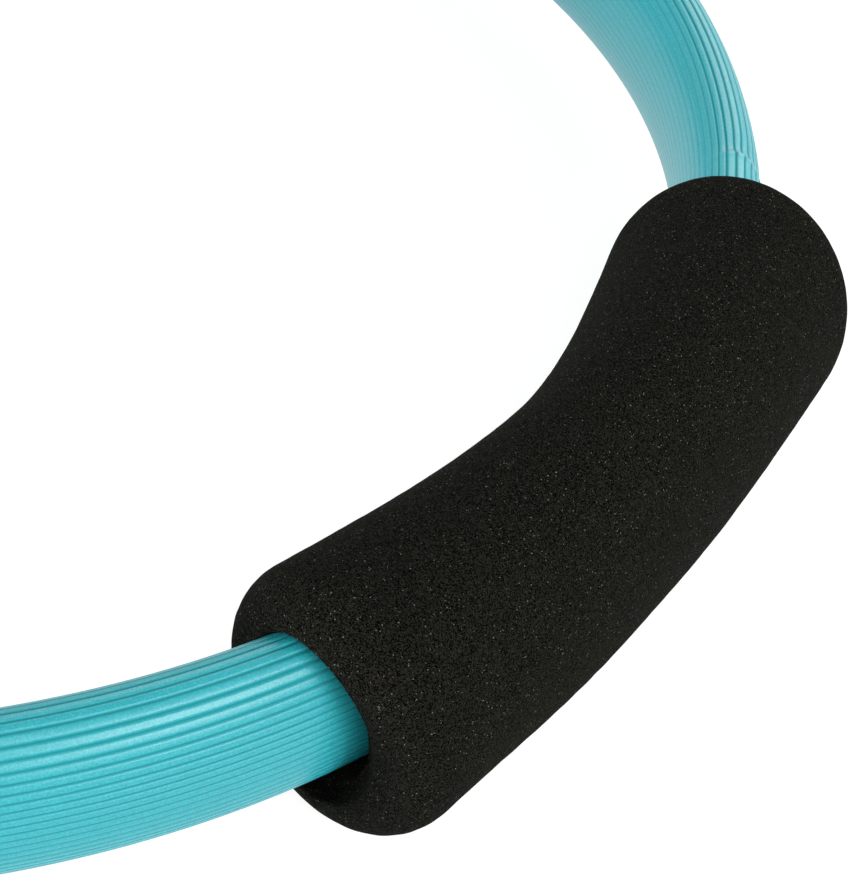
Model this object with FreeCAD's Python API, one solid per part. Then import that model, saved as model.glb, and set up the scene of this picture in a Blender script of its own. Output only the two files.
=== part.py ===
import FreeCAD, Part
import math
import os

# Pilates ring lying flat. Z is the ring's axis and X runs through the middle of both grips.
# The floor is at z = 0. Lengths are in millimetres.

# Ring and tube. The section is an oval made of narrow flats.
ring_radius = 170.0
tube_width = 16.2
tube_height = 32.5
tube_edge_radius = 5.0
tube_wall = 2.0
flat_side_count = 6
flat_edge_count = 3
tube_end_gap = 0.6

# Joint between the two half tubes, hidden in each grip
joint_offset = 30.0
plug_length = 116.0
plug_clearance = 0.3
bore_side_count = 2
bore_edge_count = 2

# Spring strips inside the tube
strip_places = ("inner", "middle", "outer")
strip_stack_share = 0.4
strip_gap = 0.2
strip_clearance = 0.3

# Pin through both halves of a plug
pin_radius = 2.0
pin_clearance = 0.15
pin_end_depth = 0.8

# Foam grips
grip_length = 136.0
grip_top_wall = 9.75
grip_inner_wall = 11.7
grip_outer_wall = 9.9
grip_inner_flare = 0.6
grip_outer_flare = 8.6
grip_edge_share = 0.82
grip_end_round = 7.0
grip_end_lean = 11.0
grip_clearance = 0.5
grip_body_steps = 8
grip_round_steps = 3
grip_side_count = 5
grip_edge_count = 6
mouth_side_count = 5
mouth_edge_count = 4
rest_depth = 0.5

grip_half_height = tube_height / 2 + grip_top_wall
grip_inner_half = tube_width / 2 + grip_inner_wall
grip_outer_half = tube_width / 2 + grip_outer_wall
mid_height = grip_half_height - rest_depth
half_turn = 180.0
quarter_turn = math.pi / 2
origin = FreeCAD.Vector(0, 0, 0)
ring_axis = FreeCAD.Vector(0, 0, 1)
outward = FreeCAD.Vector(1, 0, 0)


def turn_of(length):
    """Degrees round the ring for a length along the tube's middle line."""
    return math.degrees(length / ring_radius)


def section_point(across, along_axis):
    """Point of a section on the X side, from the tube's middle line."""
    return FreeCAD.Vector(ring_radius + across, 0, mid_height + along_axis)


def oval_arcs(half_width, half_height, edge_radius):
    """Four tangent arcs of an oval, each as middle across, middle along, radius, first and last angle."""
    edge_middle = half_height - edge_radius
    side_radius = (half_width**2 + edge_middle**2 - edge_radius**2) / (2 * (half_width - edge_radius))
    side_middle = side_radius - half_width
    meet = math.atan2(edge_middle, side_middle)
    return [
        (-side_middle, 0, side_radius, -meet, meet),
        (0, edge_middle, edge_radius, meet, math.pi - meet),
        (side_middle, 0, side_radius, math.pi - meet, math.pi + meet),
        (0, -edge_middle, edge_radius, math.pi + meet, 2 * math.pi - meet),
    ]


tube_arcs = oval_arcs(tube_width / 2, tube_height / 2, tube_edge_radius)


def arc_point(arc, angle, grow):
    """Point on one arc of an oval that is grown by the same amount all round."""
    across, along_axis, radius, first, last = arc
    reach = radius + grow
    return section_point(across + reach * math.cos(angle), along_axis + reach * math.sin(angle))


def flat_points(arcs, grow, side_count, edge_count):
    """Corners of an oval made of flats, grown or shrunk evenly."""
    points = []
    for arc, flats in zip(arcs, (side_count, edge_count) * 2):
        pitch = (arc[4] - arc[3]) / flats
        points += [arc_point(arc, arc[3] + flat * pitch, grow) for flat in range(flats)]
    return points


def closed_wire(points):
    """Closed outline through a row of corners."""
    return Part.makePolygon(points + points[:1])


def flat_face(points):
    """Face inside a closed row of corners."""
    return Part.Face(closed_wire(points))


def bar_face(low, high, half_height):
    """Upright rectangle between two distances from the tube's middle line."""
    corners = [
        section_point(low, -half_height),
        section_point(high, -half_height),
        section_point(high, half_height),
        section_point(low, half_height),
    ]
    return flat_face(corners)


def swept(face, start, end):
    """Solid swept round the ring from a section, between two angles."""
    placed = face.copy()
    placed.rotate(origin, ring_axis, start)
    return placed.revolve(origin, ring_axis, end - start)


def turned(shape, angle):
    """Copy of a shape turned about the ring's axis."""
    copy = shape.copy()
    copy.rotate(origin, ring_axis, angle)
    return copy


def bore_half_height(across):
    """Half height of the tube's bore at a distance outward from its middle line."""
    corners = flat_points(tube_arcs, -tube_wall, bore_side_count, bore_edge_count)
    place = ring_radius + across
    heights = []
    for corner, following in zip(corners, corners[1:]):
        if following.x <= place < corner.x:
            share = (place - following.x) / (corner.x - following.x)
            heights.append(following.z + share * (corner.z - following.z) - mid_height)
    return max(heights)


joint_angle = turn_of(joint_offset)
plug_half_angle = turn_of(plug_length / 2)
stack_half = strip_stack_share * (tube_width / 2 - tube_wall)
strip_pitch = (2 * stack_half + strip_gap) / len(strip_places)
strip_thickness = strip_pitch - strip_gap
strip_half_height = bore_half_height(stack_half) - strip_clearance
plug_half_width = tube_width / 2 - tube_wall - plug_clearance


def half_tube():
    """Rear half of the tube, with its bore."""
    end_gap = turn_of(tube_end_gap / 2)
    outside = flat_face(flat_points(tube_arcs, 0, flat_side_count, flat_edge_count))
    bore = flat_face(flat_points(tube_arcs, -tube_wall, bore_side_count, bore_edge_count))
    section = outside.cut(bore).Faces[0]
    return swept(section, joint_angle + end_gap, half_turn + joint_angle - end_gap)


def strip(layer):
    """Rear half of one spring strip, counted from the inside of the ring."""
    low = -stack_half + layer * strip_pitch
    face = bar_face(low, low + strip_thickness, strip_half_height)
    end_gap = turn_of(pin_radius + strip_clearance)
    return swept(face, joint_angle + end_gap, half_turn + joint_angle - end_gap)


def pin(spare, end_depth):
    """Pin across the right-hand joint, or the hole for it when spare is not zero."""
    half_length = plug_half_width - end_depth
    start = section_point(-half_length, 0)
    return turned(Part.makeCylinder(pin_radius + spare, 2 * half_length, start, outward), joint_angle)


def plug_halves():
    """Inner and outer half of the right-hand plug, which clamp the strip ends between them."""
    start = joint_angle - plug_half_angle
    end = joint_angle + plug_half_angle
    grow = -tube_wall - plug_clearance
    outline = flat_points(tube_arcs, grow, bore_side_count, bore_edge_count)
    room = stack_half + strip_gap
    slot = swept(bar_face(-room, room, tube_height), start, end)
    halves = swept(flat_face(outline), start, end).cut([slot, pin(pin_clearance, -tube_wall)]).Solids
    return sorted(halves, key=lambda half: half.CenterOfMass.Length)


def grip_section(place, inset):
    """Outline of the foam at a place along it, thicker and leaning toward the ends."""
    share = place / (grip_length / 2)
    inner = grip_inner_half + grip_inner_flare * share**2 - inset
    outer = grip_outer_half + grip_outer_flare * share**2 - inset
    half_width = (inner + outer) / 2
    half_height = grip_half_height - inset
    arcs = oval_arcs(half_width, half_height, grip_edge_share * half_width)
    wire = closed_wire(flat_points(arcs, 0, grip_side_count, grip_edge_count))
    wire.translate(FreeCAD.Vector((outer - inner) / 2, 0, 0))
    wire.rotate(section_point(0, 0), ring_axis, -grip_end_lean * share**3)
    wire.rotate(origin, ring_axis, turn_of(place))
    return wire


def grip_sections():
    """Outlines along the foam, close together where its ends are rounded."""
    straight = grip_length / 2 - grip_end_round
    steps = range(grip_body_steps + 1)
    body = [(straight * (2 * step / grip_body_steps - 1), 0) for step in steps]
    rounded = []
    for step in range(1, grip_round_steps + 1):
        angle = quarter_turn * step / grip_round_steps
        rounded.append((straight + grip_end_round * math.sin(angle), grip_end_round * (1 - math.cos(angle))))
    first_end = [(-place, inset) for place, inset in reversed(rounded)]
    return [grip_section(place, inset) for place, inset in first_end + body + rounded]


def grip_foam():
    """Right-hand foam grip with its bore, rounded ends and a flat strip to rest on."""
    block = Part.makeLoft(grip_sections(), True, True)
    reach = turn_of(grip_length)
    mouth = flat_face(flat_points(tube_arcs, grip_clearance, mouth_side_count, mouth_edge_count))
    side = 2 * (ring_radius + grip_length)
    below = Part.makeBox(side, side, grip_length, FreeCAD.Vector(-side / 2, -side / 2, -grip_length))
    return block.cut([swept(mouth, -reach, reach), below])


def save_pair(name, partner, shape):
    """Write a piece, and the same piece turned to the opposite side of the ring."""
    shape.exportStep("parts/" + name + ".step")
    turned(shape, half_turn).exportStep("parts/" + partner + ".step")


os.makedirs("parts", exist_ok=True)
save_pair("rear_tube", "front_tube", half_tube())
for layer, place in enumerate(strip_places):
    save_pair("rear_strip_" + place, "front_strip_" + place, strip(layer))
for half, place in zip(plug_halves(), ("inner", "outer")):
    save_pair("right_plug_" + place, "left_plug_" + place, half)
save_pair("right_pin", "left_pin", pin(0, pin_end_depth))
save_pair("right_grip_foam", "left_grip_foam", grip_foam())
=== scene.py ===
# %% [markdown]
# # A pilates ring
# The object is a springy ring for exercise: a ribbed oval tube bent into a circle, with a foam
# grip on each side. A person presses the two grips together and the ring bows out in between.
# The rigid frame comes from CAD. This lesson puts the visible surfaces round it: the tube with
# its fine ribs, the foam, and the finishes of the hidden joint pieces.

# %% Load the frame
import math

import bpy
import numpy as np
from mathutils import Matrix, Vector, noise


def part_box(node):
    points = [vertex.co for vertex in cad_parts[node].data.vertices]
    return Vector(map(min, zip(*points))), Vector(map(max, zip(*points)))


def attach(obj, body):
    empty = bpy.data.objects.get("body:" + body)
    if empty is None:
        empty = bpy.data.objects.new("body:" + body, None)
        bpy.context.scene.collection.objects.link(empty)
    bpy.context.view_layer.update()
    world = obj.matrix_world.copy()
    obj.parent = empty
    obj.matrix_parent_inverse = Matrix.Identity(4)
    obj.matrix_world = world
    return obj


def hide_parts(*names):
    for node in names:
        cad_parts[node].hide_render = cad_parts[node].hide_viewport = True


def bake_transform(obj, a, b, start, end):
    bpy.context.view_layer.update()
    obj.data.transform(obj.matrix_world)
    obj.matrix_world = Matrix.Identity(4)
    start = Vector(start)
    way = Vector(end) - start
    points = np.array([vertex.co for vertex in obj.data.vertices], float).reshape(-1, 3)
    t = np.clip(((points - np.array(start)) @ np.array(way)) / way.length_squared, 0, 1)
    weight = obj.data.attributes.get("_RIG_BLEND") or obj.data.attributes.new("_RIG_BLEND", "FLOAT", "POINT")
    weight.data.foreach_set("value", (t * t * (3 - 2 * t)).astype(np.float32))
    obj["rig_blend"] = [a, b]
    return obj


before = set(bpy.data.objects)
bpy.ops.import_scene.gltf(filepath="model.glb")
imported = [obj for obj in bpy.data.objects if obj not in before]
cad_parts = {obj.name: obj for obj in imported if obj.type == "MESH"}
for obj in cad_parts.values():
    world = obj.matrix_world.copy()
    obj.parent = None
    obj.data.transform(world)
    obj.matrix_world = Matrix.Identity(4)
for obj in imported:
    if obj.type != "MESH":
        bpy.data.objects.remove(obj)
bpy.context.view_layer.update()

# %% [markdown]
# ## Sizes
# A ring is easiest to think of as a section carried round a circle. Three sizes place every
# section: the radius of the tube's middle line, and the two half sizes of its oval. They are
# written in metres. The radius and the height of the middle plane are measured from the CAD
# tube, so the visible tube lies where the CAD tube does.

# %% Ring sizes
mm = 0.001
tube_half_width = 8.1 * mm
tube_half_height = 16.25 * mm
joint_offset = 30.0 * mm
plug_half_length = 58.0 * mm
tube_low, tube_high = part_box("rear_tube")
ring_radius = tube_high[1] - tube_half_width
mid_height = (tube_low[2] + tube_high[2]) / 2
joint_turn = joint_offset / ring_radius
plug_half_turn = plug_half_length / ring_radius
print("ring radius %.1f mm, middle plane %.2f mm up" % (ring_radius / mm, mid_height / mm))

# %% [markdown]
# ## Camera
# The photograph looks down on one grip from close by, slightly rolled. Place, aim, roll and
# focal length together make a perspective, so all four are set, and nothing is cropped or
# shifted. A long lens keeps the near end of the tube from swelling.

# %% Camera
photo_long_side = 876
focal_pixels = 2413
sensor_size = 36.0
near_clip = 10 * mm
camera_place = Vector((284.1 * mm, -273.4 * mm, mid_height + 282.2 * mm))
camera_aim = Vector((138.1 * mm, -4.25 * mm, mid_height))
camera_roll = math.radians(7.55)

lens = bpy.data.cameras.new("camera")
lens.sensor_width = sensor_size
lens.lens = focal_pixels / photo_long_side * sensor_size
lens.clip_start = near_clip
camera = bpy.data.objects.new("camera", lens)
bpy.context.scene.collection.objects.link(camera)
look_turn = (camera_aim - camera_place).to_track_quat("-Z", "Y").to_matrix().to_4x4()
camera.matrix_world = Matrix.Translation(camera_place) @ look_turn @ Matrix.Rotation(camera_roll, 4, "Z")
bpy.context.scene.camera = camera
print("lens of %.1f mm, camera %.2f m from its aim" % (lens.lens, (camera_aim - camera_place).length))

# %% [markdown]
# ## White that doesn't light the ring
# The picture is a cut-out on white. A white sheet could be lit until it is white, but it would
# also flood the ring with light and wash out its ribs. Blender can tell rays apart: the ones
# that see a surface, straight or in a mirror or through glass, and the ones that only gather
# light. So floor and background show white to the first and stay modest for the second.

# %% Rays that see a surface
bpy.context.scene.view_settings.view_transform = "Standard"


def link(tree, source, target):
    """Join two sockets of a node tree."""
    tree.links.new(source, target)


def seen_share(tree):
    """Socket that is 1 for rays which show a surface: camera, mirror and see-through rays."""
    path = tree.nodes.new("ShaderNodeLightPath")
    total = path.outputs["Is Camera Ray"]
    for name in ("Is Glossy Ray", "Is Transmission Ray"):
        most = tree.nodes.new("ShaderNodeMath")
        most.operation = "MAXIMUM"
        link(tree, total, most.inputs[0])
        link(tree, path.outputs[name], most.inputs[1])
        total = most.outputs[0]
    return total


def show_seen(tree, output, plain, seen):
    """Give an output one shader for the rays that see it and a plain one for all others."""
    mix = tree.nodes.new("ShaderNodeMixShader")
    link(tree, seen_share(tree), mix.inputs[0])
    link(tree, plain.outputs[0], mix.inputs[1])
    link(tree, seen.outputs[0], mix.inputs[2])
    link(tree, mix.outputs[0], output.inputs["Surface"])


print("colours are shown by", bpy.context.scene.view_settings.view_transform)

# %% [markdown]
# ## Floor
# The ring lies on its two grips, so it needs a floor for its shadow. What is seen of the floor
# is a glow a little short of white plus a weak matte layer: where the panels reach, the two add
# up to white, and under the grips the matte layer goes dark and leaves a soft shadow. The floor
# is only as wide as the panels light well, because further out it would look grey.

# %% Floor
floor_half = 0.75
floor_drop = 0.1 * mm
plain_grey = 0.8
shadow_grey = 0.22
floor_glow = 0.90


def matte(tree, grey):
    """Matte shader of one grey."""
    shader = tree.nodes.new("ShaderNodeBsdfDiffuse")
    shader.inputs["Color"].default_value = (grey, grey, grey, 1)
    return shader


def floor_finish():
    """White with a faint shadow where it is seen, plain pale grey as a source of light."""
    material = bpy.data.materials.new("white_floor")
    material.use_nodes = True
    tree = material.node_tree
    tree.nodes.clear()
    glow = tree.nodes.new("ShaderNodeEmission")
    glow.inputs["Strength"].default_value = floor_glow
    seen = tree.nodes.new("ShaderNodeAddShader")
    link(tree, matte(tree, shadow_grey).outputs[0], seen.inputs[0])
    link(tree, glow.outputs[0], seen.inputs[1])
    show_seen(tree, tree.nodes.new("ShaderNodeOutputMaterial"), matte(tree, plain_grey), seen)
    return material


corner_signs = ((-1, -1), (1, -1), (1, 1), (-1, 1))
floor_mesh = bpy.data.meshes.new("floor")
floor_corners = [(x * floor_half, y * floor_half, -floor_drop) for x, y in corner_signs]
floor_mesh.from_pydata(floor_corners, [], [(0, 1, 2, 3)])
floor_mesh.materials.append(floor_finish())
floor = bpy.data.objects.new("floor", floor_mesh)
bpy.context.scene.collection.objects.link(floor)
print("floor of %.1f m laid" % (2 * floor_half))

# %% [markdown]
# ## Background
# Past the floor the picture is white as well. The world follows the floor: full white where it
# is seen, which also gives the tube something bright to mirror at its edges, and dim as a
# source of light, so that the panels shape the ring and not the surroundings.

# %% World
white_strength = 1.0
dim_strength = 0.06

world = bpy.data.worlds.new("studio")
bpy.context.scene.world = world
world.use_nodes = True
world.node_tree.nodes.clear()
dim = world.node_tree.nodes.new("ShaderNodeBackground")
dim.inputs["Strength"].default_value = dim_strength
white = world.node_tree.nodes.new("ShaderNodeBackground")
white.inputs["Color"].default_value = (1, 1, 1, 1)
white.inputs["Strength"].default_value = white_strength
show_seen(world.node_tree, world.node_tree.nodes.new("ShaderNodeOutputWorld"), dim, white)
print("world is white where seen and", dim_strength, "as a light")

# %% [markdown]
# ## Lights
# Five soft panels light the ring, and each has one job. The shoulder panel stands outside the
# grip and draws the pale streak along the near tube's upper side. The low panel below it
# stretches that streak over the next few ribs. The left panel opens the far tube's inner side,
# the camera panel reaches into the foam's mouth, and the back panel, the largest, lights the
# tops. One strong lamp could give the same brightness, but big panels close by give soft edges.

# %% Lights


def soft_panel(name, place, aim, width, depth, power):
    """Rectangular light that faces a point."""
    data = bpy.data.lights.new(name, "AREA")
    data.shape = "RECTANGLE"
    data.size = width
    data.size_y = depth
    data.energy = power
    light = bpy.data.objects.new(name, data)
    light.location = place
    light.rotation_euler = (Vector(aim) - Vector(place)).to_track_quat("-Z", "Y").to_euler()
    bpy.context.scene.collection.objects.link(light)


grip_middle = (ring_radius, 0, mid_height)
panels = [
    ("shoulder_panel", (1.10, -0.28, 0.52), 0.50, 0.55, 6.4),
    ("left_panel", (-0.50, -0.90, 0.12), 0.80, 0.20, 11.4),
    ("camera_panel", (0.58, -0.73, 0.985), 0.50, 0.50, 4.6),
    ("back_panel", (0.0, 1.10, 0.80), 1.80, 1.40, 16.5),
    ("low_panel", (1.09, -0.43, 0.17), 0.65, 0.28, 2.9),
]
for name, place, width, depth, power in panels:
    soft_panel(name, place, grip_middle, width, depth, power)
print(len(panels), "panels lit")

# %% [markdown]
# ## Where the ribs lie
# The tube is an upright oval with fine ribs all round, as they come out of the die it is pressed
# through. They aren't all alike: they are widest at the upper shoulder and narrower on the flat
# side. So the way round the oval is measured first, and the ribs are counted off along it with
# the width that belongs to each place. Each rib gets eight points: two at the groove's bottom,
# and three up each wall to the edge of the land.

# %% Rib places
rib_count = 49
rib_offset = 0.3
rib_places = (-40, -12, 0, 4, 8, 15, 22, 40)
rib_widths = (1.60, 1.40, 1.55, 1.40, 1.65, 1.95, 1.45, 1.60)
rib_shares = (0.04, 0.15, 0.22, 0.30, 0.70, 0.78, 0.85, 0.96)
points_per_rib = len(rib_shares)
oval_samples = 4001


def rib_turns():
    """Turn round the oval for each point of each rib, with the ribs' widths as they vary."""
    turns = np.linspace(-math.pi, math.pi, oval_samples)
    oval = np.stack([tube_half_width * np.cos(turns), tube_half_height * np.sin(turns)], -1)
    steps = np.linalg.norm(np.diff(oval, axis=0), axis=1)
    along = np.concatenate([[0], np.cumsum(steps)])
    along -= along[-1] / 2
    widths = np.interp(along / mm, rib_places, rib_widths) * mm
    ribs = np.concatenate([[0], np.cumsum(steps / widths[1:])])
    ribs *= rib_count / ribs[-1]
    places = (np.arange(rib_count)[:, None] + rib_offset + np.array(rib_shares)).ravel()
    return np.interp(places % rib_count, ribs, turns)


section_turns = rib_turns()
print(rib_count, "ribs with", len(section_turns), "points round the oval")

# %% [markdown]
# ## The ribbed section
# Now the grooves are pressed in. A normal map could paint them, but a real groove catches shade
# from every side, and a flat land takes one even tone, which makes the streak of light step
# from rib to rib as on the real tube. On the ring's inner side the ribs are nearly worn away.
# How deep each point lies is kept, because the finish needs it later.

# %% Ribbed section
groove_depth = 0.22 * mm
land_lift = 0.02 * mm
rib_depth_shares = (1.0, 0.38, 0.08, 0.0, 0.0, 0.08, 0.38, 1.0)
worn_least = 0.15
worn_edge = -0.97
worn_run = 0.45


def smooth_step(value):
    """Soft ramp from 0 to 1."""
    value = np.clip(value, 0, 1)
    return value * value * (3 - 2 * value)


def ribbed_section(turns):
    """Points round the tube, the outward direction at each, and how deep in a groove it lies."""
    across, along = np.cos(turns), np.sin(turns)
    outward = np.stack([across / tube_half_width, along / tube_half_height], -1)
    outward /= np.linalg.norm(outward, axis=1)[:, None]
    kept = worn_least + (1 - worn_least) * smooth_step((outward[:, 0] - worn_edge) / worn_run)
    depth = np.tile(rib_depth_shares, rib_count) * kept
    lift = land_lift * (1 - (2 * np.tile(rib_shares, rib_count) - 1) ** 2)
    points = np.stack([tube_half_width * across, tube_half_height * along], -1)
    return points + outward * (lift - groove_depth * depth)[:, None], outward, depth


section, section_outward, section_groove = ribbed_section(section_turns)
print("section of %.1f by %.1f mm" % tuple(np.ptp(section, axis=0) / mm))

# %% [markdown]
# ## Step over the plug
# A plug inside the tube joins its two halves, and the photograph shows its end as a small step
# just past the grip. The tube swells over the plug, ends in a small bead and falls into a slight
# neck. A bump in the material could hint at that, but the step shows in the tube's outline, so
# it is part of the shape: one formula along the tube, times a share round the section.

# %% Step over the plug
swell_height = 0.45 * mm
swell_run = 0.7 * mm
fall_run = 1.7 * mm
neck_depth = 0.75 * mm
neck_run = 9.0 * mm
bead_height = 0.22 * mm
bead_run = 0.8 * mm
inner_fade_run = 1.3
outer_fade = 0.6
outer_fade_edge = 0.4
outer_fade_run = 0.5


def past_plug(turn, joint):
    """Length along the tube from the plug's end: below zero over the plug."""
    return (abs(turn - joint) - plug_half_turn) * ring_radius


def over_plug_at(turn, joint):
    """1 where the plug lies inside the tube, 0 past its end."""
    return 1 - smooth_step(past_plug(turn, joint) / swell_run + 0.5)


def swell_side():
    """Share of the swelling round the section: most at the top, less outside, none inside."""
    outward_x = section_outward[:, 0]
    inner_share = smooth_step((outward_x + 1) / inner_fade_run)
    return inner_share * (1 - outer_fade * smooth_step((outward_x - outer_fade_edge) / outer_fade_run))


def swell_at(turn, joint):
    """Growth of the section near a joint: swelling, bead at its end, and neck past it."""
    past_end = past_plug(turn, joint)
    fall = 1 - math.exp(-max(past_end, 0) / fall_run)
    neck = fall * (1 - smooth_step(past_end / neck_run))
    bead = math.exp(-(((past_end + bead_run) / bead_run) ** 2))
    grow = swell_height * (1 - fall) - neck_depth * neck + bead_height * bead
    return grow * swell_side()[:, None]


growth_over = swell_at(joint_turn, joint_turn).max()
growth_past = swell_at(joint_turn + plug_half_turn + 2 * fall_run / ring_radius, joint_turn).min()
print("tube grows %.2f mm over the plug and shrinks %.2f mm past it" % (growth_over / mm, -growth_past / mm))

# %% [markdown]
# ## Sections along the tube
# The tube bends when the grips are pressed together, and a bend goes from a part that stays with
# a grip to the middle of a free side. So each half tube is made as two quarters. A quarter has
# a section at about every degree and many more across the small step. One more lies just before
# the middle, so that the last faces are short and two quarters meet without a seam.

# %% Sections along the tube
tube_end_gap = 0.3 * mm
station_turn = math.radians(1.0)
step_places = np.concatenate([np.linspace(-2.0, 0.3, 16), np.linspace(0.6, 6.0, 13)]) * mm
last_face = 0.1 * mm


def on_ring(turn, across, along):
    """Points of a section carried to an angle round the ring."""
    reach = ring_radius + across
    return np.stack([reach * np.cos(turn), reach * np.sin(turn), mid_height + along], -1)


def tube_stations(joint, middle):
    """Angles of the sections from the tube's end at a joint to the middle of a side."""
    side = 1 if middle > joint else -1
    start = joint + side * tube_end_gap / ring_radius
    count = round(abs(middle - start) / station_turn)
    step_turns = joint + side * (plug_half_turn + step_places / ring_radius)
    near_middle = middle - side * last_face / ring_radius
    return np.sort(np.concatenate([np.linspace(start, middle, count + 1), step_turns, [near_middle]]))


half_turn = math.pi
rear_middle = math.pi / 2
front_middle = 3 * math.pi / 2
quarters = [
    ("rear_right", "rear", "right_joint", "rear_arc", joint_turn, rear_middle),
    ("rear_left", "rear", "left_grip", "rear_arc", half_turn + joint_turn, rear_middle),
    ("front_left", "front", "left_grip", "front_arc", half_turn + joint_turn, front_middle),
    ("front_right", "front", "right_grip", "front_arc", 2 * half_turn + joint_turn, front_middle),
]
print("sections in each quarter:", [len(tube_stations(joint, middle)) for *_, joint, middle in quarters])

# %% [markdown]
# ## From rows of points to a mesh
# Tube, strips and foam are all swept shapes: rows of points, each row a closed loop. A curve with
# a bevel would sweep them too, but it can't change its section on the way. Two small helpers are
# enough: one makes the faces between neighbouring rows, the other makes the object. A flag for
# each face says whether it is shaded smooth.

# %% Mesh helpers


def band_faces(rows, columns, first=0, inward=False):
    """Quads between neighbouring rows of points, each row a closed loop."""
    faces = []
    for row in range(rows - 1):
        for column in range(columns):
            following = (column + 1) % columns
            low, high = first + row * columns, first + (row + 1) * columns
            quad = (low + column, low + following, high + following, high + column)
            faces.append(quad[::-1] if inward else quad)
    return faces


def new_piece(name, points, faces, smooth_count):
    """Mesh object from points and faces, of which the first so many are shaded smooth."""
    mesh = bpy.data.meshes.new(name)
    mesh.from_pydata([tuple(point) for point in points], [], faces)
    mesh.polygons.foreach_set("use_smooth", [index < smooth_count for index in range(len(faces))])
    mesh.update()
    piece = bpy.data.objects.new(name, mesh)
    bpy.context.scene.collection.objects.link(piece)
    return piece


print("two rows round the section give", len(band_faces(2, len(section))), "faces")

# %% [markdown]
# ## Ends and bore of a quarter
# On the real ring the tube is hollow, with a wall of 2 mm. A quarter without a bore would look
# the same from outside, but an open view of the model shows it, so every quarter is a closed
# skin: outside, bore and two ring-shaped ends. The ends are shaded flat, because a smooth end
# bends the light on the last ribs and shows as a line where two quarters meet.

# %% Tube skin
tube_wall = 2.0 * mm


def tube_points(turns, joint):
    """Points of a quarter: all rows of its outside, then all rows of its bore."""
    bore = section[::points_per_rib] - section_outward[::points_per_rib] * (tube_wall - groove_depth)
    outer_rows, inner_rows = [], []
    for turn in turns:
        grow = swell_at(turn, joint)
        wide = section + section_outward * grow
        hole = bore + (section_outward * np.maximum(grow, 0))[::points_per_rib]
        outer_rows.append(on_ring(turn, wide[:, 0], wide[:, 1]))
        inner_rows.append(on_ring(turn, hole[:, 0], hole[:, 1]))
    return np.concatenate(outer_rows + inner_rows)


def end_faces(outer, inner, flip):
    """Ring-shaped end of a tube: one face for each rib, from the outline to the bore."""
    faces = []
    for rib in range(rib_count):
        steps = range(points_per_rib + 1)
        rim = [outer + (rib * points_per_rib + step) % len(section) for step in steps]
        face = rim + [inner + (rib + 1) % rib_count, inner + rib]
        faces.append(tuple(face[::-1] if flip else face))
    return faces


def tube_faces(rows):
    """Faces of a quarter, and how many of them belong to its long smooth sides."""
    outside = len(section)
    first_inner = rows * outside
    faces = band_faces(rows, outside, inward=True) + band_faces(rows, rib_count, first_inner)
    smooth_count = len(faces)
    faces += end_faces(0, first_inner, False)
    faces += end_faces((rows - 1) * outside, first_inner + (rows - 1) * rib_count, True)
    return faces, smooth_count


print("tube wall %.1f mm, bore of %d points" % (tube_wall / mm, rib_count))

# %% [markdown]
# ## Quarter tubes
# Each quarter is now put together. Two values are stored on its points for the finish: how deep
# a point lies in a groove, and how far the plug stretches the plastic there. An image would hold
# them too, but values on the mesh can't slip against the shape they describe.

# %% Quarter tubes


def store(piece, label, values):
    """Keep one value for each point on a mesh, under a name that a material can read."""
    layer = piece.data.attributes.new(label, "FLOAT", "POINT")
    layer.data.foreach_set("value", values.astype(np.float32))


def quarter_tube(name, joint, middle):
    """Closed quarter of the tube between a joint and the middle of a side."""
    turns = tube_stations(joint, middle)
    faces, smooth_count = tube_faces(len(turns))
    piece = new_piece(name, tube_points(turns, joint), faces, smooth_count)
    in_bore = np.zeros(len(turns) * rib_count)
    stretched = [over_plug_at(turn, joint) * swell_side() for turn in turns]
    store(piece, "groove", np.concatenate([np.tile(section_groove, len(turns)), in_bore]))
    store(piece, "stretch", np.concatenate(stretched + [in_bore]))
    return piece


tubes = {}
for name, half, held, free, joint, middle in quarters:
    tubes[name] = quarter_tube(name + "_tube", joint, middle)
    print(name, "tube:", len(tubes[name].data.polygons), "faces")

# %% [markdown]
# ## Strips inside the tube
# Three flat glass fibre strips lie in each half of the tube and make it springy. They are never
# seen, but they bend with the tube, so they are made as quarters too. A bar with slightly
# eased corners is carried round the ring for each strip. Its outline is measured from the CAD
# strip, so it fits the plug's slot.

# %% Strip outline
strip_thickness = 1.49 * mm
corner_ease = 0.25 * mm


def strip_outline(node):
    """Eased rectangle of one strip's section, measured from its CAD node."""
    low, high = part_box(node)
    outside = high[1] - ring_radius if node.startswith("rear") else -low[1] - ring_radius
    top = high[2] - mid_height
    inside = outside - strip_thickness
    ease = corner_ease
    corners = [
        (inside + ease, -top), (outside - ease, -top), (outside, ease - top), (outside, top - ease),
        (outside - ease, top), (inside + ease, top), (inside, top - ease), (inside, ease - top),
    ]
    return np.array(corners)


print("strip of %.2f by %.2f mm" % tuple(np.ptp(strip_outline("rear_strip_middle"), axis=0) / mm))

# %% Strip meshes
strip_layers = ("inner", "middle", "outer")
strip_end_gap = 2.3 * mm
strip_sections = 60


def quarter_strips(name, half, joint, middle):
    """The three strips of a quarter, joined in one piece of three closed bars."""
    side = 1 if middle > joint else -1
    turns = np.sort(np.linspace(joint + side * strip_end_gap / ring_radius, middle, strip_sections))
    points, faces = [], []
    for layer in strip_layers:
        outline = strip_outline(half + "_strip_" + layer)
        first = sum(len(row) for row in points)
        points += [on_ring(turn, outline[:, 0], outline[:, 1]) for turn in turns]
        faces += band_faces(len(turns), len(outline), first, inward=True)
        last = first + (len(turns) - 1) * len(outline)
        faces.append(tuple(first + corner for corner in range(len(outline))))
        faces.append(tuple(last + corner for corner in reversed(range(len(outline)))))
    return new_piece(name, np.concatenate(points), faces, 0)


strips = {}
for name, half, held, free, joint, middle in quarters:
    strips[name] = quarter_strips(name + "_strips", half, joint, middle)
print("strips made for", ", ".join(strips))

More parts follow.
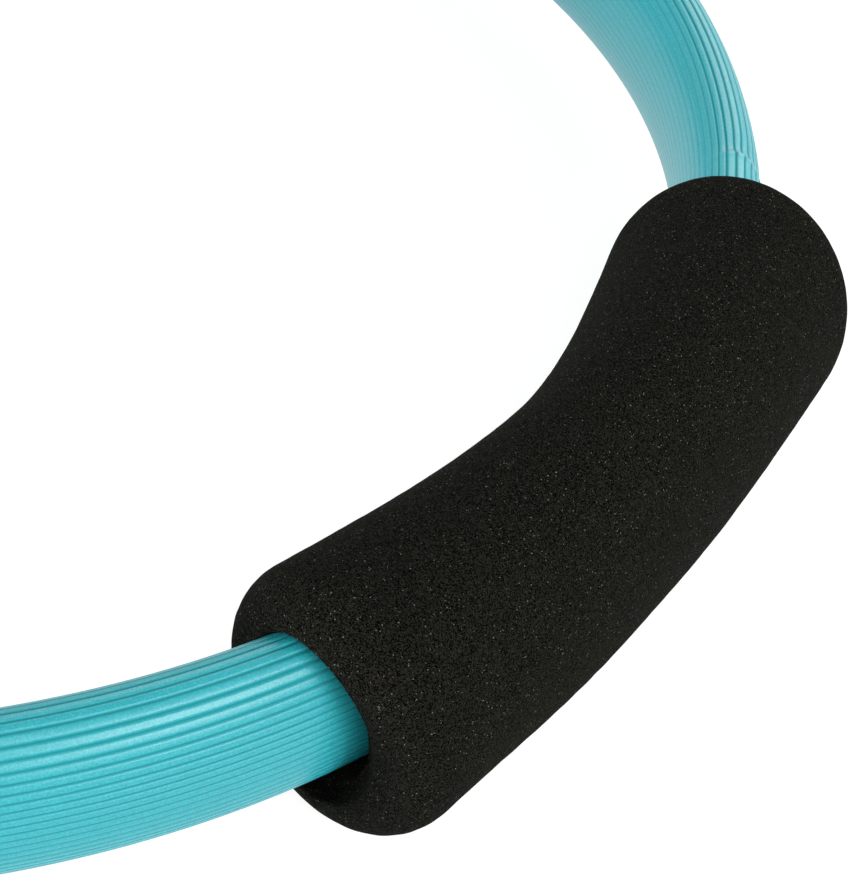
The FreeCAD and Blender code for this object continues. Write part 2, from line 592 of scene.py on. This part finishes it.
# %% [markdown]
# ## Foam outline
# A grip was a straight foam sleeve that was pushed on and bent with the tube. Bending thins it
# on the outside at its middle, leaves its ends thick, and lets the end faces lean. A cylinder
# with a bend modifier would stay evenly thick, so the foam is made of outlines along the ring,
# each an oval with an inner and an outer half width that change along the grip.

# %% Foam outline
grip_half_length = 69.4 * mm
grip_half_height = 25.9 * mm
grip_rise = 0.28 * mm
inner_half = dict(middle=19.15 * mm, slope=0.76 * mm, bend=10.0 * mm, flare=-7.48 * mm, lip=-0.86 * mm)
outer_half = dict(middle=18.05 * mm, slope=0.47 * mm, bend=-0.42 * mm, flare=8.8 * mm, lip=0.95 * mm)
bend_share = 0.2
grip_lean = {1: math.radians(1.52), -1: math.radians(1.42)}
grip_top_lead = {1: math.radians(0.70), -1: math.radians(0.48)}
around_count = 180
around = np.linspace(0, 2 * math.pi, around_count, endpoint=False)


def half_size(terms, share):
    """Half width of the foam at a share of its half length."""
    bend = np.sqrt(share**2 + bend_share**2) - bend_share
    straight = terms["middle"] + terms["slope"] * share
    return straight + terms["bend"] * bend + terms["flare"] * share**2 + terms["lip"] * share**4


def foam_row(place, inset):
    """Outline of the foam at a place along the ring, drawn in by inset."""
    share = place / grip_half_length
    inner = half_size(inner_half, share) - inset
    outer = half_size(outer_half, share) - inset
    across = (outer - inner) / 2 + (outer + inner) / 2 * np.cos(around)
    along = (grip_half_height - inset) * np.sin(around) + grip_rise
    top_lead = np.where(share > 0, grip_top_lead[1], grip_top_lead[-1])
    end_lean = np.where(share > 0, grip_lean[1], grip_lean[-1])
    lean = share**3 * (top_lead * np.sin(around) - end_lean * np.cos(around))
    return on_ring(place / ring_radius + lean, across, along)


foam_widths = [(half_size(inner_half, share) + half_size(outer_half, share)) / mm for share in (0, 1)]
print("foam is %.1f mm thick at its middle and %.1f mm at its end" % tuple(foam_widths))

# %% [markdown]
# ## Mouth and bore
# The tube comes out of the foam through a mouth that is wider than the tube below, dished, and
# leans with the bent sleeve. A boolean cut would leave a sharp rim, so the bore is made of rows
# as well: the tube's own oval deep inside, turning into the wider mouth toward each end.

# %% Mouth and bore
bore_spare = 1.1 * mm
mouth_half_width = 8.95 * mm
mouth_half_height = 18.35 * mm
mouth_shift = (0.50 * mm, -1.3 * mm)
mouth_lean = math.radians(31.3)
mouth_lead = math.radians(10.8)


def bore_row(place, spare, mouth_share):
    """Outline of the bore at a place along the ring: the tube's oval, or the wider mouth."""
    bore_width, bore_height = tube_half_width + bore_spare, tube_half_height + bore_spare
    wide = bore_width + (mouth_half_width - bore_width) * mouth_share
    high = bore_height + (mouth_half_height - bore_height) * mouth_share
    across = (wide + spare) * np.cos(around) + mouth_shift[0] * mouth_share
    along = (high + spare) * np.sin(around) + mouth_shift[1] * mouth_share
    side = math.copysign(mouth_share, place)
    lean = side * (mouth_lead * along - mouth_lean * across) / ring_radius
    return on_ring(place / ring_radius + lean, across, along)


print("mouth of %.1f by %.1f mm" % (2 * mouth_half_width / mm, 2 * mouth_half_height / mm))

# %% [markdown]
# ## Ends of the foam
# Cut foam has no crisp edge: its rim is soft, and softest on the ring's outside, where the bend
# pulls it back. The rows run on from the outside over that rounded rim, across the end face,
# over the mouth's small edge and back through the bore. They close on themselves, so the foam
# is one closed skin.

# %% Foam ends
inner_end_round = 6.7 * mm
outer_end_round = {1: 9.1 * mm, -1: 11.6 * mm}
mouth_sink = 1.3 * mm
mouth_round = 0.6 * mm
round_count, face_count, mouth_count = 9, 9, 4
quarter_angle = math.pi / 2


def end_round_at(side):
    """Rounding of the foam's end edge all the way round, softest on the ring's outside."""
    outward_share = ((1 + np.cos(around)) / 2) ** 2
    return inner_end_round + (outer_end_round[side] - inner_end_round) * outward_share


def end_rows(side):
    """Rows from the foam's outside over the end edge, the end face and the mouth."""
    rows = []
    end_round = end_round_at(side)
    for angle in np.linspace(0, quarter_angle, round_count)[1:]:
        place = grip_half_length - end_round * (1 - math.sin(angle))
        rows.append(foam_row(side * place, end_round * (1 - math.cos(angle))))
    rim = rows[-1]
    lip = bore_row(side * (grip_half_length - mouth_sink), mouth_round, 1)
    for share in np.linspace(0, 1, face_count)[1:]:
        rows.append(rim + (lip - rim) * share)
    for angle in np.linspace(0, quarter_angle, mouth_count)[1:]:
        place = grip_half_length - mouth_sink - mouth_round * (1 - math.cos(angle))
        rows.append(bore_row(side * place, mouth_round * (1 - math.sin(angle)), 1))
    return rows


print("end of", len(end_rows(1)), "rows")

# %% Foam rows
body_count, bore_count = 110, 30
mouth_depth_share = 0.25


def foam_rows():
    """All rows of the foam's skin, in order: outside, one end, bore, other end."""
    first = end_round_at(-1) - grip_half_length
    last = grip_half_length - end_round_at(1)
    body = [foam_row(first + (last - first) * share, 0) for share in np.linspace(0, 1, body_count)]
    inner_end = grip_half_length - mouth_sink - mouth_round
    bore = []
    for place in np.linspace(inner_end, -inner_end, bore_count)[1:-1]:
        near_mouth = smooth_step(1 - (1 - abs(place) / inner_end) / mouth_depth_share)
        bore.append(bore_row(place, 0, near_mouth))
    return body + end_rows(1) + bore + end_rows(-1)[::-1]


print("foam skin of", len(foam_rows()), "rows")

# %% [markdown]
# ## Foam grips
# Foam is never quite even. Wide shallow dents and a fine grain move each point a little along
# the way out from its row's middle, and points that would sink below the floor are pressed flat,
# as the grips are where the ring rests on them. The noise depends on place alone, so every run
# gives the same foam, and the second grip is the first one turned by half a turn.

# %% Foam grips
rest_level = 0.0
dent_size = 28 * mm
dent_depth = 0.35 * mm
grain_size = 2.6 * mm
grain_depth = 0.07 * mm


def roughen(points, middles):
    """Uneven foam: wide shallow dents and a fine grain, moved away from each row's middle."""
    moved = points.copy()
    for index, point in enumerate(points):
        outward = Vector(point - middles[index])
        outward.normalize()
        wide = noise.noise(Vector(point) / dent_size)
        fine = noise.noise(Vector(point) / grain_size)
        moved[index] += np.array(outward) * (wide * dent_depth + fine * grain_depth)
    return moved


def foam_grip(name, turn):
    """One foam grip, turned to its side of the ring."""
    rows = foam_rows()
    middles = np.concatenate([np.tile(row.mean(0), (around_count, 1)) for row in rows])
    points = roughen(np.concatenate(rows), middles)
    points[:, 2] = np.maximum(points[:, 2], rest_level)
    points = points @ np.array(Matrix.Rotation(turn, 3, "Z")).T
    faces = band_faces(len(rows), around_count, inward=True)
    last = (len(rows) - 1) * around_count
    for column in range(around_count):
        following = (column + 1) % around_count
        faces.append((column, following, last + following, last + column))
    return new_piece(name, points, faces, len(faces))


grips = {"right": foam_grip("right_foam", 0), "left": foam_grip("left_foam", half_turn)}
for name, piece in grips.items():
    size = [round(value / mm, 1) for value in piece.dimensions]
    print(name, "foam of", size, "mm and", len(piece.data.polygons), "faces")

# %% [markdown]
# ## Tools for the finishes
# Every finish here is built from the same few moves: start a material, take a noise of a known
# size, stretch a value to a wanted range, mix two colours by it, and turn a height into relief.
# Images could hold the finishes too, but noise in the object's own metres needs no unwrapping
# and keeps its true size.

# %% Finish helpers


def finish(name, roughness, specular):
    """New material with a shader node whose even values are set on its own sockets."""
    material = bpy.data.materials.new(name)
    material.use_nodes = True
    tree = material.node_tree
    shader = tree.nodes["Principled BSDF"]
    shader.inputs["Roughness"].default_value = roughness
    shader.inputs["Specular IOR Level"].default_value = specular
    return material, tree, shader


def noise_node(tree, size, detail, roughness=0.5):
    """Noise in the object's own metres, with features of about the size given."""
    place = tree.nodes.new("ShaderNodeTexCoord")
    texture = tree.nodes.new("ShaderNodeTexNoise")
    texture.inputs["Scale"].default_value = 1 / size
    texture.inputs["Detail"].default_value = detail
    texture.inputs["Roughness"].default_value = roughness
    link(tree, place.outputs["Object"], texture.inputs["Vector"])
    return texture


def ramp(tree, value, low, high, first=0.0, last=1.0):
    """Value stretched so that low becomes first and high becomes last."""
    stretch = tree.nodes.new("ShaderNodeMapRange")
    stretch.inputs["From Min"].default_value = low
    stretch.inputs["From Max"].default_value = high
    stretch.inputs["To Min"].default_value = first
    stretch.inputs["To Max"].default_value = last
    link(tree, value, stretch.inputs["Value"])
    return stretch.outputs["Result"]


print("materials so far:", len(bpy.data.materials))

# %% Colour and relief helpers


def mix_colours(tree, share, low, high):
    """Colour between two others, each a colour or a socket."""
    mix = tree.nodes.new("ShaderNodeMix")
    mix.data_type = "RGBA"
    link(tree, share, mix.inputs["Factor"])
    for socket, colour in ((mix.inputs[6], low), (mix.inputs[7], high)):
        if isinstance(colour, tuple):
            socket.default_value = colour
        else:
            link(tree, colour, socket)
    return mix.outputs[2]


def stored(tree, label):
    """Socket with a value that was stored on the mesh."""
    reader = tree.nodes.new("ShaderNodeAttribute")
    reader.attribute_name = label
    return reader.outputs["Fac"]


def bump(tree, shader, height, strength, distance):
    """Surface relief from a height socket."""
    relief = tree.nodes.new("ShaderNodeBump")
    relief.inputs["Strength"].default_value = strength
    relief.inputs["Distance"].default_value = distance
    link(tree, height, relief.inputs["Height"])
    link(tree, relief.outputs["Normal"], shader.inputs["Normal"])


tube_layers = tubes["rear_right"].data.attributes
print("stored on the tube:", [label for label in ("groove", "stretch") if label in tube_layers])

# %% [markdown]
# ## Tube finish
# The tube is dyed plastic with a satin skin: an even teal with a very fine grain that breaks up the
# highlight, duller in the grooves and darkened there as painted shade, and paler over the plug, most on its
# top. One flat colour would look like paint, so each of these is a mix by its own value. Groove and stretch
# were stored on the mesh when it was made, so colour and shape agree.

# %% Tube material
land_dark, land_light = (0.010, 0.338, 0.394, 1), (0.014, 0.368, 0.427, 1)
grain_light = (0.046, 0.497, 0.565, 1)
# Paler colour mixed in over the plug, most on the tube's top and less on its outside.
over_plug_pale = (0.075, 0.510, 0.570, 1)
# The grooves' darker colour is painted shade.
groove_painted_shade = (0.000, 0.262, 0.298, 1)
land_roughness, groove_roughness = 0.32, 0.90
plastic_shine = 0.54
tone_patch = 9 * mm
plastic_grain = 0.34 * mm
grain_low, grain_high, grain_most = 0.40, 0.65, 0.6
stretch_most = 0.7
plastic_relief, plastic_relief_depth = 0.30, 0.05 * mm


def tube_finish():
    """Satin teal plastic with grooves darkened by painted shade, paler over the plug."""
    material, tree, shader = finish("teal_plastic", land_roughness, plastic_shine)
    groove = stored(tree, "groove")
    tone = noise_node(tree, tone_patch, 3)
    land = mix_colours(tree, tone.outputs["Fac"], land_dark, land_light)
    grain = noise_node(tree, plastic_grain, 2)
    grain_share = ramp(tree, grain.outputs["Fac"], grain_low, grain_high, 0, grain_most)
    grainy = mix_colours(tree, grain_share, land, grain_light)
    stretch_share = ramp(tree, stored(tree, "stretch"), 0, 1, 0, stretch_most)
    paler = mix_colours(tree, stretch_share, grainy, over_plug_pale)
    # The groove colour mixed in here is painted shade in the recesses.
    link(tree, mix_colours(tree, groove, paler, groove_painted_shade), shader.inputs["Base Color"])
    roughness = ramp(tree, groove, 0, 1, land_roughness, groove_roughness)
    link(tree, roughness, shader.inputs["Roughness"])
    bump(tree, shader, grain.outputs["Fac"], plastic_relief, plastic_relief_depth)
    return material


teal_plastic = tube_finish()
for piece in tubes.values():
    piece.data.materials.append(teal_plastic)
print("tube finish on", len(tubes), "quarters")

# %% [markdown]
# ## Foam finish
# Closed-cell foam is almost black, matte, and full of tiny cut cells. A single black would swallow its
# shape, so every cell draws a lot: most are dark pores or somewhat paler walls, and a rare one is painted
# pale as a glint of light, a painted highlight. The same cells make the relief, so the painted glints and
# the relief agree.

# %% Foam material
pore_dark, pore_light = (0.0003, 0.0004, 0.0002, 1), (0.0009, 0.0009, 0.0006, 1)
wall_grey = (0.0235, 0.0235, 0.0184, 1)
# A rare cell gets this pale colour as a painted glint of light.
painted_glint_pale = (0.20, 0.19, 0.165, 1)
cell_size = 0.165 * mm
pore_patch = 6 * mm
foam_dent = 0.3 * mm
foam_dent_roughness = 0.7
foam_relief, foam_relief_depth = 0.4, 0.25 * mm
foam_roughness, foam_shine = 0.95, 0.02
first_wall, first_painted_glint = 0.25, 0.991


def foam_cells(tree):
    """Cells of the foam, with a random colour and a height for each."""
    place = tree.nodes.new("ShaderNodeTexCoord")
    cells = tree.nodes.new("ShaderNodeTexVoronoi")
    cells.inputs["Scale"].default_value = 1 / cell_size
    link(tree, place.outputs["Object"], cells.inputs["Vector"])
    return cells


def foam_finish():
    """Matte black foam with pores, fine pale specks and rare painted glints."""
    material, tree, shader = finish("black_foam", foam_roughness, foam_shine)
    cells = foam_cells(tree)
    lot = tree.nodes.new("ShaderNodeSeparateColor")
    link(tree, cells.outputs["Color"], lot.inputs[0])
    patches = noise_node(tree, pore_patch, 2)
    pores = mix_colours(tree, patches.outputs["Fac"], pore_dark, pore_light)
    walls = mix_colours(tree, ramp(tree, lot.outputs[0], first_wall, 1.0), pores, wall_grey)
    # Rare cells get the pale colour here as painted glints.
    painted_glints = mix_colours(tree, ramp(tree, lot.outputs[1], first_painted_glint, 1.0), walls, painted_glint_pale)
    link(tree, painted_glints, shader.inputs["Base Color"])
    dents = noise_node(tree, foam_dent, 2, foam_dent_roughness)
    height = tree.nodes.new("ShaderNodeMath")
    height.operation = "ADD"
    link(tree, cells.outputs["Distance"], height.inputs[0])
    link(tree, dents.outputs["Fac"], height.inputs[1])
    bump(tree, shader, height.outputs[0], foam_relief, foam_relief_depth)
    return material


black_foam = foam_finish()
for piece in grips.values():
    piece.data.materials.append(black_foam)
print("foam finish on", len(grips), "grips")

# %% [markdown]
# ## Hidden joint pieces
# Inside each grip two moulded plug halves clamp the strip ends and a steel pin holds the halves
# together. Nobody sees them while the ring is whole, but an open view of the model does, so
# they get plain true finishes: grainy dark plastic, drawn steel, and glass fibre with its
# lengthwise streaks. One recipe of two close tones serves all three.

# %% Joint and strip materials
hidden_shine = 0.5
hidden_relief, hidden_relief_depth = 0.15, 0.05 * mm
plug_tones = (0.02, 0.02, 0.02, 1), (0.035, 0.035, 0.035, 1)
steel_tones = (0.45, 0.45, 0.45, 1), (0.6, 0.6, 0.6, 1)
fibre_tones = (0.5, 0.5, 0.36, 1), (0.66, 0.64, 0.5, 1)


def plain_finish(name, tones, roughness, metal, size, stretch):
    """Finish of two close tones with streaks or grain."""
    material, tree, shader = finish(name, roughness, hidden_shine)
    shader.inputs["Metallic"].default_value = metal
    place = tree.nodes.new("ShaderNodeTexCoord")
    spread = tree.nodes.new("ShaderNodeMapping")
    spread.inputs["Scale"].default_value = stretch
    texture = tree.nodes.new("ShaderNodeTexNoise")
    texture.inputs["Scale"].default_value = 1 / size
    texture.inputs["Detail"].default_value = 3
    link(tree, place.outputs["Object"], spread.inputs["Vector"])
    link(tree, spread.outputs["Vector"], texture.inputs["Vector"])
    link(tree, mix_colours(tree, texture.outputs["Fac"], *tones), shader.inputs["Base Color"])
    bump(tree, shader, texture.outputs["Fac"], hidden_relief, hidden_relief_depth)
    return material


moulded = plain_finish("moulded_plug", plug_tones, 0.55, 0, 0.8 * mm, (1, 1, 1))
steel = plain_finish("drawn_steel", steel_tones, 0.35, 1, 0.5 * mm, (0.2, 1, 1))
fibre = plain_finish("glass_fibre", fibre_tones, 0.4, 0, 0.6 * mm, (1, 1, 6))
for piece in strips.values():
    piece.data.materials.append(fibre)
for node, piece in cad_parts.items():
    if "plug" in node or "pin" in node:
        piece.data.materials.clear()
        piece.data.materials.append(moulded if "plug" in node else steel)
print("materials in all:", sorted(material.name for material in bpy.data.materials))

# %% [markdown]
# ## What moves with what
# A grip rides on its own body. A quarter of tube or strips stays with its grip as far as the plug reaches,
# follows the free side at the ring's middle, and bends smoothly in between. Rigid quarters would tear apart
# at the middle of each side, so they are blended.

# %% Riding and blending
plug_end_x = ring_radius * math.cos(joint_turn + plug_half_turn)
for name, half, held, free, joint, middle in quarters:
    side = 1 if name.endswith("right") else -1
    start, end = (side * plug_end_x, 0, 0), (0, 0, 0)
    for piece in (tubes[name], strips[name]):
        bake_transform(piece, held, free, start=start, end=end)
    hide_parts(half + "_tube")
    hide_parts(*[half + "_strip_" + layer for layer in strip_layers])
for name, piece in grips.items():
    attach(piece, name + "_grip")
    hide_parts(name + "_grip_foam")
print("pieces joined to the frame:", len(tubes) + len(strips) + len(grips))
